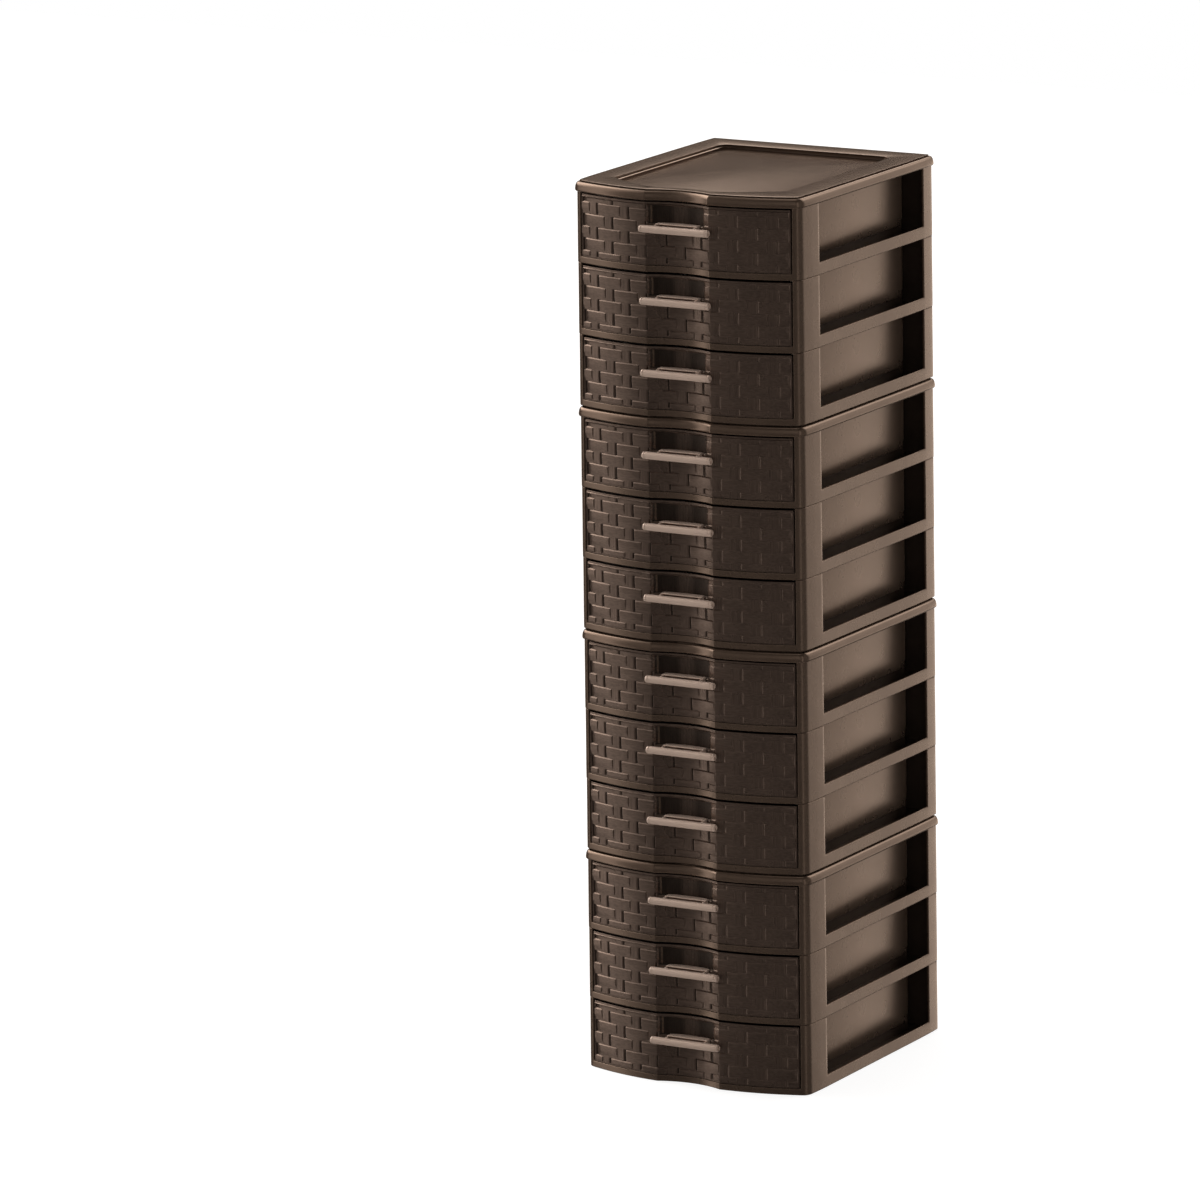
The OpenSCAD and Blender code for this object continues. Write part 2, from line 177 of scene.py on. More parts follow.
def half_outline(front_xs, side_ys=()):
    """Points and normals from the middle of the front round the right side to the middle of the back."""
    pts = [front_point(x) for x in front_xs]
    first = math.atan2(pts[-1][1].y, pts[-1][1].x)
    front_l, rear_l = FRONT_BOW_Y - CORNER_C.y, FRAME_D - REAR_R - REAR_BOW_Y
    for i in range(1, TURN_STEPS + 1):
        share = i / TURN_STEPS
        a = first * (1 - share)
        p = CORNER_C + direction(a) * CORNER_R - Vector((FRONT_BOW * smoothstep(0, 1, share), 0))
        pts.append((p, direction(a - math.atan(2 * FRONT_BOW / front_l) * share)))
    for y in (*(CORNER_C.y + back for back in CORNER_YS), *side_ys, *REAR_YS):
        f, t = max(FRONT_BOW_Y - y, 0) / front_l, max(y - REAR_BOW_Y, 0) / rear_l
        slope = 2 * REAR_BOW * t / rear_l - 2 * FRONT_BOW * f / front_l
        x = FRAME_W / 2 - REAR_BOW * t * t - FRONT_BOW * f * f
        pts.append((Vector((x, y)), unit(Vector((1, slope)))))
    rear_c = Vector((FRAME_W / 2 - REAR_R - REAR_BOW, FRAME_D - REAR_R))
    lead = math.atan(2 * REAR_BOW / rear_l)
    for i in range(TURN_STEPS + 1):
        n = direction(lead + (math.pi / 2 - lead) * i / TURN_STEPS)
        pts.append((rear_c + n * REAR_R, n))
    return pts


def mirrored(half):
    """Whole loop, counterclockwise from the middle of the front, of a half outline."""
    flip = Vector((-1, 1))
    left = [(p * flip, n * flip) for p, n in reversed(half) if p.x > 1e-6]
    return half + left


# ---------------------------------------------------------------- mesh helpers
SINK = 0.5                                 # how deep ribs and blocks stand in what carries them


def finish_mesh(bm, name, merge=1e-5):
    """Scales a bmesh from mm to metres and makes it a smooth mesh with outward normals."""
    bmesh.ops.remove_doubles(bm, verts=bm.verts, dist=merge)
    bmesh.ops.recalc_face_normals(bm, faces=bm.faces)
    scale = Matrix.Diagonal((MM, MM, MM, 1)) @ Matrix.Translation((0, -MID_Y, 0))
    bmesh.ops.transform(bm, matrix=scale, verts=bm.verts)
    me = bpy.data.meshes.new(name)
    bm.to_mesh(me)
    bm.free()
    me.polygons.foreach_set("use_smooth", [True] * len(me.polygons))
    return me


def sharpen(me, angle=35):
    """Keeps edges sharper than angle crisp in a smooth mesh."""
    bm = bmesh.new()
    bm.from_mesh(me)
    for e in bm.edges:
        if len(e.link_faces) == 2 and e.calc_face_angle(0) > math.radians(angle):
            e.smooth = False
    bm.to_mesh(me)
    bm.free()


def grown(p, n, grow):
    """Plan point moved out along its normal; where it moves in far, the middle moves straight back."""
    if grow >= -RIDGE_R or n.y > -0.3:
        return p + n * grow
    share = smoothstep(45, 95, abs(p.x))
    way = unit(n * share + Vector((0, -1)) * (1 - share))
    return p - n * RIDGE_R - way * (-grow - RIDGE_R)


def loop_verts(bm, loop, grow, z):
    return [bm.verts.new((*grown(p, n, grow), z)) for p, n in loop]


def bridge(bm, a, b, closed=True):
    """Faces between two rows of the same number of vertices."""
    count = len(a)
    for i in range(count if closed else count - 1):
        j = (i + 1) % count
        if len({a[i], a[j], b[j], b[i]}) == 4:
            bm.faces.new((a[i], a[j], b[j], b[i]))


def rings(bm, loop, profile):
    """Rings of a closed loop at each (grow, z) of a profile, joined in order."""
    made = [loop_verts(bm, loop, g, z) for g, z in profile]
    for a, b in zip(made, made[1:]):
        bridge(bm, a, b)
    return made


def close_ends(bm, made):
    """Flat faces on the first and last of a stack of rings."""
    bm.faces.new(list(reversed(made[0])))
    bm.faces.new(made[-1])


def block(bm, lo, hi, bevel=0.4, segments=2):
    """Box with rounded edges."""
    lo, hi = Vector(lo), Vector(hi)
    made = bmesh.ops.create_cube(bm, size=1.0)
    size, mid = hi - lo, (hi + lo) / 2
    place = Matrix.Translation(mid) @ Matrix.Diagonal((*size, 1))
    bmesh.ops.transform(bm, matrix=place, verts=made["verts"])
    edges = list(dict.fromkeys(e for v in made["verts"] for e in v.link_edges))
    bmesh.ops.bevel(bm, geom=edges, offset=min(bevel, min(size) * 0.45), segments=segments,
                    affect="EDGES", profile=0.5)


def post(bm, x, y, r, z0, z1, steps=24, edge=0.4):
    """Upright round post, closed at both ends."""
    loop = [(Vector((x, y)), direction(2 * math.pi * i / steps)) for i in range(steps)]
    close_ends(bm, rings(bm, loop, [(r - edge, z0), (r, z0 + edge), (r, z1 - edge), (r - edge, z1)]))


# ---------------------------------------------------------------- frame of one tier
RIM, SOFT_RIM, POST_RIM = 1.2, 2.2, 3.5    # narrow faces beside each edge keep the wide ones flat
POST_MID_Y = WINDOW_Y0 - 14                # a row of points down the middle of a front post
MID_LEVEL = 40.0
FRONT_REACH, SIDE_SLACK = 20, 1            # the front wall lies before this y, the side walls this far in
FLOOR_Z0, FLOOR_EDGE = 0.25, WALL * 0.6
JAMB_START, JAMB_Z0, JAMB_TOP_GAP, BOSS_TOP_GAP = 1.8, 0.3, 0.4, 0.2
RIB_EDGE, STOP_EDGE = 0.6, 0.5


def frame_wall(loop):
    """Outer wall of one tier with its windows, its thickness and its bevelled edges."""
    levels = [0.0, RIM, FRONT_RAIL_H - SOFT_RIM, FRONT_RAIL_H, SIDE_RAIL_H - SOFT_RIM, SIDE_RAIL_H,
              MID_LEVEL, TIER_PITCH - RIM, TIER_PITCH]
    grow = [0.0] * 6 + [-DRAFT / 2, -DRAFT, -DRAFT]
    bm = bmesh.new()
    made = [loop_verts(bm, loop, g, z) for g, z in zip(grow, levels)]
    for j in range(len(levels) - 1):
        for i in range(len(loop)):
            k = (i + 1) % len(loop)
            mid = (loop[i][0] + loop[k][0]) / 2
            in_front = mid.y < FRONT_REACH and abs(mid.x) < OPENING_HALF
            in_window = abs(mid.x) > FRAME_W / 2 - SIDE_SLACK and WINDOW_Y0 < mid.y < WINDOW_Y1
            if (in_front and levels[j] >= FRONT_RAIL_H) or (in_window and levels[j] >= SIDE_RAIL_H):
                continue
            bm.faces.new((made[j][i], made[j][k], made[j + 1][k], made[j + 1][i]))
    bmesh.ops.delete(bm, geom=[v for v in bm.verts if not v.link_faces], context="VERTS")
    me = finish_mesh(bm, "tier_frame_wall")
    for mat in ("frame_plastic", "inner_matte_painted_shade"):
        me.materials.append(MATERIALS[mat])
    wall = bpy.data.objects.new("tier_frame_wall_tmp", me)
    bpy.context.scene.collection.objects.link(wall)
    solid = wall.modifiers.new("wall", "SOLIDIFY")
    solid.thickness, solid.offset, solid.use_even_offset = WALL * MM, -1.0, True
    # the wall's inner faces take the darker inner material, whose darkness is painted shade
    solid.material_offset = 1
    edge = wall.modifiers.new("edge", "BEVEL")
    edge.width, edge.segments, edge.limit_method = RAIL_EDGE * MM, 3, "ANGLE"
    edge.angle_limit, edge.use_clamp_overlap = math.radians(50), True
    got = bpy.data.meshes.new_from_object(wall.evaluated_get(bpy.context.evaluated_depsgraph_get()))
    bpy.data.objects.remove(wall)
    return got


def frame_inner(loop):
    """Floor, jambs, runners with their rear stops, corner posts and the block that stops the drawer."""
    bm = bmesh.new()
    close_ends(bm, rings(bm, loop, [(-FLOOR_EDGE, FLOOR_Z0), (-FLOOR_EDGE, FLOOR_T)]))
    jamb_y0 = front_point(OPENING_HALF)[0].y + JAMB_START
    low, runner_end = FLOOR_T - SINK, TRAY_BACK + SLIDE_GAP
    for side in (-1, 1):
        xs = sorted((side * OPENING_HALF, side * (OPENING_HALF + WALL)))
        block(bm, (xs[0], jamb_y0, JAMB_Z0), (xs[1], JAMB_D, TIER_PITCH - JAMB_TOP_GAP), RIB_EDGE)
        x0, x1 = side * RUNNER_X - RUNNER_W / 2, side * RUNNER_X + RUNNER_W / 2
        block(bm, (x0, RUNNER_Y, low), (x1, runner_end, RUNNER_H), RIB_EDGE)
        block(bm, (x0, runner_end, low), (x1, runner_end + STOP_T, RUNNER_H + REAR_STOP_H), RIB_EDGE)
        for y in BOSS_Y:
            post(bm, side * BOSS_X, y, BOSS_D / 2, low, TIER_PITCH - BOSS_TOP_GAP)
    block(bm, (-STOP_W / 2, STOP_BLOCK_Y, low),
          (STOP_W / 2, STOP_BLOCK_Y + STOP_T, TRAY_Z0 - GUIDE_RIB_H), STOP_EDGE)
    inner = finish_mesh(bm, "tier_frame_inner")
    # all inner parts take the darker inner material: painted shade on floor, jambs, runners, stops and posts
    inner.polygons.foreach_set("material_index", [1] * len(inner.polygons))
    return inner


def frame_mesh():
    """Open-sided frame of one tier: the wall, satin outside and matte inside, and all that is inside it; the
    inside's darker colour is painted shade.
    """
    loop = mirrored(half_outline(
        FRONT_XS + [OPENING_HALF + RIM],
        [POST_MID_Y, WINDOW_Y0 - POST_RIM, WINDOW_Y0, *range(70, 260, 26), WINDOW_Y1, WINDOW_Y1 + RIM]))
    wall, inner = frame_wall(loop), frame_inner(loop)
    whole = bmesh.new()
    whole.from_mesh(wall)
    whole.from_mesh(inner)
    me = bpy.data.meshes.new("tier_frame")
    for mat in wall.materials:
        me.materials.append(mat)
    whole.to_mesh(me)
    whole.free()
    me.polygons.foreach_set("use_smooth", [True] * len(me.polygons))
    sharpen(me)
    return me


# ---------------------------------------------------------------- woven drawer front
WARP_PITCH, WARP_HALF, WARPS = 21.3, 6.1, 5
ROW_H, ROWS = 12.95, 3
FRONT_MID = (FRONT_Z0 + FRONT_Z1) / 2
RELIEF, FRONT_SINK = 1.6, 0.05             # depth of the weave, and of its highest point
BRICK_HALF, GROOVE_W, SEAM_W, LEDGE = 15.2, 1.6, 0.35, 1.25
CROWN = 0.06                               # how far a strand's ends lie below its middle, times RELIEF
TILT, TILT_WORN = 0.55, 0.25               # a brick leans in towards its lower edge
LEDGE_DROP, LEDGE_WORN = 0.68, 0.3         # its upper edge is a soft ledge
SEAM_LEVEL, WARP_LEVEL, WARP_DIP, WARP_DIP_W = 0.45, 0.62, 0.16, 3.0
GROOVE_WORN = 0.5                          # how far the groove is filled on the right wing
WORN_X = (38.0, 44.0)
BORDER, BORDER_LEAD = 1.5, 0.8             # the weave starts inside the front's plain border
SIDE_EDGE_R, LOW_EDGE_R, TOP_EDGE_R = 0.6, 0.4, 0.6
TOP_BORDER, TOP_STEP, TOP_RAMP = 1.9, 1.0, 0.7
LOW_BORDER, LOW_STEP, SIDE_BORDER, SIDE_STEP, STEP_RAMP = 1.2, 0.8, 0.7, 0.9, 0.5
POCKET_D, POCKET_FLAT = 1.3, 0.0022        # its depth in the middle, and what flattens its floor
POCKET_X, POCKET_SIDE = -3.0, (32.0, 30.8)  # its middle, and where its walls start and end
POCKET_LOW, POCKET_TOP = (50.6, 52.2), (71.4, 70.2)

# distances of the mesh's columns and rows from the front's edge, a strand's middle and a row's seam
EDGE_STEPS = [0.0, 0.06, 0.2, 0.45, 0.8, 1.2, 1.6, 2.0, 2.25, 2.6]
STRAND_STEPS = [0, 2.4, 4.0, 4.36, 4.5, 4.64, 4.84, 5.3, 5.62, 5.8, 5.98, 6.2, 6.45, 6.9, 8.4, 10.64]
ROW_STEPS = [0.02, 0.2, 0.6, 1.0, 1.2, 1.3, 1.6, 2.3, 3.6, 5.0, 6.45]
GRID_START = 2.75


def weave(x, z):
    """Height of the woven relief, 0 to 1, and 1 where the strand on top runs across, else 0."""
    row = math.floor((z - FRONT_MID) / ROW_H)
    v = (z - FRONT_MID) / ROW_H - row - 0.5
    near = (x / WARP_PITCH + row + 1) % 2
    q = min(near, 2 - near) * WARP_PITCH      # distance from the middle of the nearest brick
    left_end = near > 1                       # that brick lies to the right of x
    worn = smoothstep(*WORN_X, x)             # the right wing's relief is fainter
    a, b = BRICK_HALF - q, (0.5 - abs(v)) * ROW_H
    if a > (-GROOVE_W / 2 if left_end else -SEAM_W):
        top = 1 - CROWN * (q / BRICK_HALF) ** 2 - (TILT - TILT_WORN * worn) * smoothstep(0.05, -0.5, v)
        if v > 0:
            top -= (LEDGE_DROP - LEDGE_WORN * worn) * min(max(1 - b / LEDGE, 0), 1)
        keep = smoothstep(-0.15 if left_end else -SEAM_W, 0.45, a)
        base = GROOVE_WORN * worn if left_end else SEAM_LEVEL
        return base + (top - base) * keep, 1.0
    past_groove = -a - GROOVE_W if left_end else WARP_HALF
    dip = WARP_DIP * (1 - smoothstep(0, WARP_DIP_W, b))
    top = WARP_LEVEL - CROWN * ((a + WARP_HALF) / WARP_HALF) ** 2 - dip
    base = GROOVE_WORN * worn * top
    return base + (top - base) * smoothstep(-0.12, 0.32 + 0.3 * worn, past_groove), 0.0


def pocket(x, z):
    """1 inside the smooth pocket above the handle, 0 outside."""
    upright = smoothstep(*POCKET_LOW, z) * smoothstep(*POCKET_TOP, z)
    return smoothstep(*POCKET_SIDE, abs(x - POCKET_X)) * upright


def front_relief(x, z):
    """Offset of the drawer front from the frame's outline at (x, z), in mm, and the strand direction."""
    side, low, high = DRAWER_HALF - abs(x), z - FRONT_Z0, FRONT_Z1 - z
    h, across = weave(x, z)
    smooth = pocket(x, z)
    edge = min(side, low, high - TOP_BORDER + BORDER_LEAD)
    inside = smoothstep(BORDER - 0.15, BORDER + 0.35, edge)
    fall = max(r * (1 - math.sqrt(1 - max(1 - e / r, 0) ** 2))
               for e, r in ((side, SIDE_EDGE_R), (low, LOW_EDGE_R), (high, TOP_EDGE_R)))
    fall += TOP_STEP * (1 - min(max((high - TOP_BORDER) / TOP_RAMP, 0), 1))
    fall = max(fall, LOW_STEP * (1 - smoothstep(LOW_BORDER, LOW_BORDER + STEP_RAMP, low)),
               SIDE_STEP * (1 - smoothstep(SIDE_BORDER, SIDE_BORDER + STEP_RAMP, side)))
    woven = -FRONT_SINK + (h - 1) * RELIEF * inside - fall
    return woven * (1 - smooth) - (POCKET_D + POCKET_FLAT * x * x) * smooth, across * (1 - smooth)


def spread(centres, steps, lo, hi, keep):
    """Positions between lo and hi, both sides of each centre, no two closer than keep, with edge rows."""
    raw = sorted([c + s * o for c in centres for s in (-1, 1) for o in steps])
    out = [lo + GRID_START]
    for v in raw:
        if lo + GRID_START < v < hi - GRID_START and v - out[-1] > keep:
            out.append(v)
    if hi - GRID_START - out[-1] > keep:
        out.append(hi - GRID_START)
    out[-1] = hi - GRID_START
    return [lo + e for e in EDGE_STEPS] + out + [hi - e for e in reversed(EDGE_STEPS)]


def front_mesh():
    """Drawer front: woven relief outside, rims folded back, plain inside."""
    strands = [WARP_PITCH * k for k in range(-WARPS, WARPS + 1)]
    seams = [FRONT_MID + ROW_H * k for k in range(-ROWS, ROWS + 1)]
    xs = spread(strands, STRAND_STEPS, -DRAWER_HALF, DRAWER_HALF, 0.12)
    zs = spread(seams, ROW_STEPS, FRONT_Z0, FRONT_Z1, 0.05)
    bm = bmesh.new()
    layer = bm.verts.layers.float.new("across")
    depth = bm.verts.layers.float.new("relief")
    grid = []
    for x in xs:
        p, n = signed_front(x)
        col = []
        for z in zs:
            g, across = front_relief(x, z)
            v = bm.verts.new((p.x + n.x * g, p.y + n.y * g, z))
            # relief, 1 at the weave's top and 0 a full RELIEF down, drives the painted shade in weave_shade
            v[layer], v[depth] = across, max(0.0, min(1.0, 1 + g / RELIEF))
            col.append(v)
        grid.append(col)
    nx, nz = len(xs), len(zs)
    for i in range(nx - 1):
        for j in range(nz - 1):
            bm.faces.new((grid[i][j], grid[i + 1][j], grid[i + 1][j + 1], grid[i][j + 1]))
    ring = [(i, 0) for i in range(nx)] + [(nx - 1, j) for j in range(1, nz)] \
        + [(i, nz - 1) for i in range(nx - 2, -1, -1)] + [(0, j) for j in range(nz - 2, 0, -1)]

    def back_loop(grow, inset):
        out = []
        for i, j in ring:
            x = max(min(xs[i], DRAWER_HALF - inset), -DRAWER_HALF + inset)
            z = max(min(zs[j], FRONT_Z1 - inset), FRONT_Z0 + inset)
            q = grown(*signed_front(x), grow)
            if abs(x) > DRAWER_HALF - FRONT_T:       # the rims at the sides run straight back
                q.x = x
            out.append(bm.verts.new((*q, z)))
        return out

    back, rim_edge = -FRONT_INSET - FRONT_T, 0.3
    loops = [[grid[i][j] for i, j in ring], back_loop(back - RIM_D + rim_edge, 0),
             back_loop(back - RIM_D, rim_edge), back_loop(back - RIM_D, RIM_T), back_loop(back, RIM_T)]
    for a, b in zip(loops, loops[1:]):
        bridge(bm, a, b)
    last = dict(zip(ring, loops[-1]))
    for i in range(nx - 1):                          # the plain inside, a strip for each column
        face = [last[(i, 0)], last[(i + 1, 0)]]
        if i == nx - 2:
            face += [last[(nx - 1, j)] for j in range(1, nz - 1)]
        face += [last[(i + 1, nz - 1)], last[(i, nz - 1)]]
        if i == 0:
            face += [last[(0, j)] for j in range(nz - 2, 0, -1)]
        bm.faces.new(face)
    me = finish_mesh(bm, "drawer_front", merge=1e-4)
    sharpen(me, 60)
    return me


# ---------------------------------------------------------------- tray of a drawer
FRONT_SEAT = FRONT_INSET + FRONT_T * 0.87  # the tray's front edge stands in the drawer front
TRAY_START = 4.5                           # the points of its front edge stop this far from its sides
TRAY_YS = (20, 80, 140, 200, 240)
TRAY_INNER_R = 1.8
SKIRT_T, SKIRT_OVER, SKIRT_Y0, SKIRT_R = 2.4, 0.06, 8.0, 1.1
STOP_RIB_DEEP = 4                          # the stop rib reaches this much below the guide ribs


def tray_mesh():
    """Thin-walled tray with rounded lower edges, a lip, guide ribs and the stop rib."""
    right_xs = [x for x in FRONT_XS if x < TRAY_HALF - TRAY_START]
    both_xs = [-x for x in reversed(right_xs)] + right_xs[1:]
    front = [signed_front(x)[0] + Vector((0, FRONT_SEAT)) for x in both_xs]
    end_y = front_point(TRAY_HALF)[0].y + FRONT_SEAT
    bm = bmesh.new()

    def ring(d, z, lip=0.0):
        """Plan of the tray d mm outside its walls; the lip runs along the sides and the rear only."""
        side, reach = TRAY_HALF + d + lip, TRAY_CORNER_R + d
        pts = [p - Vector((0, d)) for p in front]
        pts += [Vector((side, y)) for y in (end_y - d, *TRAY_YS)]
        for s in (1, -1):
            c = Vector((s * (TRAY_HALF - TRAY_CORNER_R), TRAY_BACK - TRAY_CORNER_R))
            pts += [c + Vector((s * (reach + lip) * math.cos(a), reach * math.sin(a)))
                    for a in quarter(10)[::s]]
        pts += [Vector((-side, y)) for y in (*reversed(TRAY_YS), end_y - d)]
        return [bm.verts.new((*p, z)) for p in pts]

    def corner(r, inset, steps):
        """(offset, height) up a rounded lower edge of radius r that starts inset mm inside and above."""
        return [(-inset + r * (math.cos(a) - 1), inset + r * (1 - math.sin(a))) for a in quarter(steps)]

    w, lip, top = TRAY_WALL, TRAY_LIP, TRAY_Z1
    loops = [ring(d, TRAY_Z0 + z) for d, z in reversed(corner(TRAY_EDGE_R, 0, 5))]
    loops += [ring(0, top - w - 0.6), ring(0, top - w, 0.35), ring(0, top - w + 0.2, lip - 0.3),
              ring(0, top - w + 0.5, lip), ring(0, top - 0.4, lip), ring(0, top, lip - 0.4),
              ring(-w + 0.4, top), ring(-w, top - 0.4)]
    loops += [ring(d, TRAY_Z0 + z) for d, z in corner(TRAY_INNER_R, w, 4)]
    for a, b in zip(loops, loops[1:]):
        bridge(bm, a, b)
    close_ends(bm, loops)
    for side in (-1, 1):
        for off in (-1, 1):
            x = side * RUNNER_X + off * GUIDE_OFFSET
            block(bm, (x - GUIDE_RIB_T / 2, RUNNER_Y, TRAY_Z0 - GUIDE_RIB_H),
                  (x + GUIDE_RIB_T / 2, STOP_RIB_Y, TRAY_Z0 + SINK), 0.3)
        xs = sorted((side * (TRAY_HALF - SKIRT_T), side * (TRAY_HALF + SKIRT_OVER)))
        block(bm, (xs[0], SKIRT_Y0, SKIRT_Z0),
              (xs[1], TRAY_BACK - TRAY_CORNER_R, top - w - 0.6), SKIRT_R, 4)
    block(bm, (-STOP_W / 2, STOP_RIB_Y, TRAY_Z0 - GUIDE_RIB_H - STOP_RIB_DEEP),
          (STOP_W / 2, STOP_RIB_Y + STOP_T, TRAY_Z0 + SINK), STOP_EDGE)
    me = finish_mesh(bm, "drawer_tray", merge=1e-4)
    sharpen(me, 40)
    return me


# ---------------------------------------------------------------- handle
# (back from the bar's end, in from its surface) over the ringed cap
CAP = ((1.6, 2.0), (0.3, 1.75), (0.0, 1.4), (0.1, 0.9), (0.6, 0.3), (1.5, 0.0), (2.8, 0.0), (3.0, 0.3),
       (3.4, 0.35), (3.6, 0.05), (4.2, 0.0))
# (behind the bar's axis, or None at the scoop, above the web's top, in from the web's end) round each strip
WEB_PLATE = ((4.9, -0.1, 0.4), (4.8, 0.2, 0.4), (4.85, 0.5, 0.4), (5.1, 0.8, 0.5), (5.8, 0.95, 0.7),
             (None, 0.95, 0.8), (None, -0.35, 0.3), (5.3, -0.35, 0.3))
WEB_FLANGE = ((0.5, -WEB_T, 0.5), (0.5, -2.2, 0.5), (None, -2.2, 0.5), (None, -WEB_T, 0.5))
WEB_SEAT = FRONT_INSET + 1.0               # the web ends this far behind the outline
CHEEK_IN, CHEEK_HALF, CHEEK_Y = 1.6, 1.0, (BAR_Y + 1.0, -11.0)


def lathe(bm, profile, centre, steps=40):
    """Solid of revolution about the X axis through centre, profile as (x, radius)."""
    cx, cy, cz = centre
    turns = [2 * math.pi * i / steps for i in range(steps)]
    made = [[bm.verts.new((cx + x, cy + r * math.cos(a), cz + r * math.sin(a))) for a in turns]
            for x, r in profile]
    for a, b in zip(made, made[1:]):
        bridge(bm, a, b)
    bm.faces.new(made[0])
    bm.faces.new(list(reversed(made[-1])))


def handle_mesh():
    """Round bar with a ringed cap at each end, and the web that joins it to the scoop."""
    bm = bmesh.new()
    r, half = BAR_D / 2, BAR_LEN / 2
    end = [(half - along, r - inset) for along, inset in CAP]
    middle = [(x, r) for x in range(30, -31, -10)]
    lathe(bm, end + middle + [(-x, rr) for x, rr in reversed(end)], (0, BAR_Y, BAR_Z))
    xs = [WEB_HALF * i / 14 for i in range(-14, 15)]

    def web_y(x, behind):
        return front_point(abs(x))[0].y + WEB_SEAT if behind is None else BAR_Y + behind

    for rows in (WEB_PLATE, WEB_FLANGE):
        made = [[bm.verts.new((x * (1 - trim / WEB_HALF), web_y(x, behind), WEB_TOP + up)) for x in xs]
                for behind, up, trim in rows]
        for a, b in zip(made, made[1:] + made[:1]):
            bridge(bm, a, b, closed=False)
        bm.faces.new([row[0] for row in made])
        bm.faces.new([row[-1] for row in reversed(made)])
    for side in (-1, 1):
        x = side * (WEB_HALF - CHEEK_IN)
        block(bm, (x - CHEEK_HALF, CHEEK_Y[0], WEB_TOP - WEB_T),
              (x + CHEEK_HALF, CHEEK_Y[1], WEB_TOP - 0.2), 0.3)
    me = finish_mesh(bm, "drawer_handle", merge=1e-4)
    sharpen(me, 50)
    return me


# ---------------------------------------------------------------- cover
LIP = ((-3.0, COVER_LAP), (0.0, COVER_LAP), (0.1, 1.3), (0.4, 1.15), (0.9, 1.15), (1.35, 1.4), (1.8, 2.0))
# (outside the frame's outline, above the top of the round edge), then above the plate
GROOVE = ((-2.5, -0.15), (-2.7, -1.6), (-4.6, -1.8), (-4.7, -1.2))
PLATE_EDGE = ((-3.25, -0.4), (-3.2, -0.28), (-3.6, -0.2), (-7.0, -0.12), (-13.0, 0.0))
# (offset of the rear and front walls, offset of the side walls with their ledge, above the plate)
RECESS_STEPS = (
    (0.5, 0.5, 0.0), (0.12, 0.12, -0.08), (0.0, 0.0, -0.3), (0.8, 0.8, -0.7), (2.2, 2.0, -1.5),
    (2.4, 2.0, -2.2), (2.4, -2.6, -2.5), (2.4, -3.0, -2.8), (2.4, -1.8, -3.3),
    (2.2, -1.4, 0.9 - RECESS_D), (1.2, -2.2, 0.2 - RECESS_D), (-0.8, -4.2, -RECESS_D))
DOME_RINGS = (0.95, 0.87, 0.76, 0.64, 0.52, 0.40, 0.28, 0.16, 0.06)
DOME_EDGE, DOME_IN, DOME_IN_SIDE = 4, 1.6, 3.0


def recess_loop():
    """Points and outward normals round the recess, its corners rounded."""
    half_w, back = FRAME_W / 2 - RECESS_SIDE, FRAME_D - RECESS_REAR
    arc_c = Vector((0, SCOOP_DEPTH - BULGE + RECESS_FRONT + RECESS_FRONT_R))
    r = RECESS_CORNER_R
    fx = half_w - r
    corner = Vector((fx, arc_c.y - math.sqrt((RECESS_FRONT_R - r) ** 2 - fx ** 2)))
    lead = math.atan2(corner.y - arc_c.y, corner.x)
    rear_c = Vector((half_w - RECESS_REAR_R, back - RECESS_REAR_R))
    arcs = ((arc_c, RECESS_FRONT_R, [-math.pi / 2 + (lead + math.pi / 2) * i / 16 for i in range(17)]),
            (corner, r, [lead * (1 - i / TURN_STEPS) for i in range(1, TURN_STEPS + 1)]),
            (rear_c, RECESS_REAR_R, quarter(9)))
    return mirrored([(c + direction(a) * radius, direction(a)) for c, radius, turns in arcs for a in turns])


def recess_rings(bm):
    """The stepped wall of the recess and its low dome; gives back the first ring."""
    rec = recess_loop()
    made = []
    for rear, side, up in RECESS_STEPS:
        made.append([bm.verts.new((*(p + n * (rear + (side - rear) * n.x * n.x)), COVER_H + up))
                     for p, n in rec])
    mid = Vector((0, DOME_MID_Y))
    half_x = FRAME_W / 2 - RECESS_SIDE - DOME_EDGE
    half_y = FRAME_D - RECESS_REAR - DOME_MID_Y - DOME_EDGE
    for k in DOME_RINGS:
        row = []
        for p, n in rec:
            q = mid + (p - n * (DOME_IN + DOME_IN_SIDE * n.x * n.x) - mid) * k
            swell = max(1 - (q.x / half_x) ** 2, 0) * max(1 - ((q.y - mid.y) / half_y) ** 2, 0)
            row.append(bm.verts.new((*q, COVER_H - RECESS_D + DOME * swell)))
        made.append(row)
    for a, b in zip(made, made[1:]):
        bridge(bm, a, b)
    bm.faces.new(made[-1])
    return made[0]


def cover_mesh():
    """Cover with a bullnose edge, a fine groove inside it, and a stepped recess in the top."""
    bm = bmesh.new()
    loop = mirrored(half_outline(FRONT_XS + [OPENING_HALF + 2], range(40, 290, 50)))
    top, r = COVER_H - RIM_STEP, COVER_EDGE_R
    nose = [(COVER_OVER - r + r * math.cos(a), top - NOSE_H + NOSE_H * math.sin(a)) for a in quarter(8)]
    profile = [*LIP, *nose, *((g, top + up) for g, up in GROOVE),
               *((g, COVER_H + up) for g, up in PLATE_EDGE)]
    made = rings(bm, loop, profile)
    bm.faces.new(list(reversed(made[0])))
    inner = recess_rings(bm)
    rim = [e for ring in (made[-1], inner) for v in ring for e in v.link_edges
           if e.verts[0] in ring and e.verts[1] in ring and len(e.link_faces) == 1]
    bmesh.ops.triangle_fill(bm, use_beauty=True, use_dissolve=False, edges=list(dict.fromkeys(rim)))
    me = finish_mesh(bm, "unit_cover", merge=1e-4)
    sharpen(me, 40)
    return me


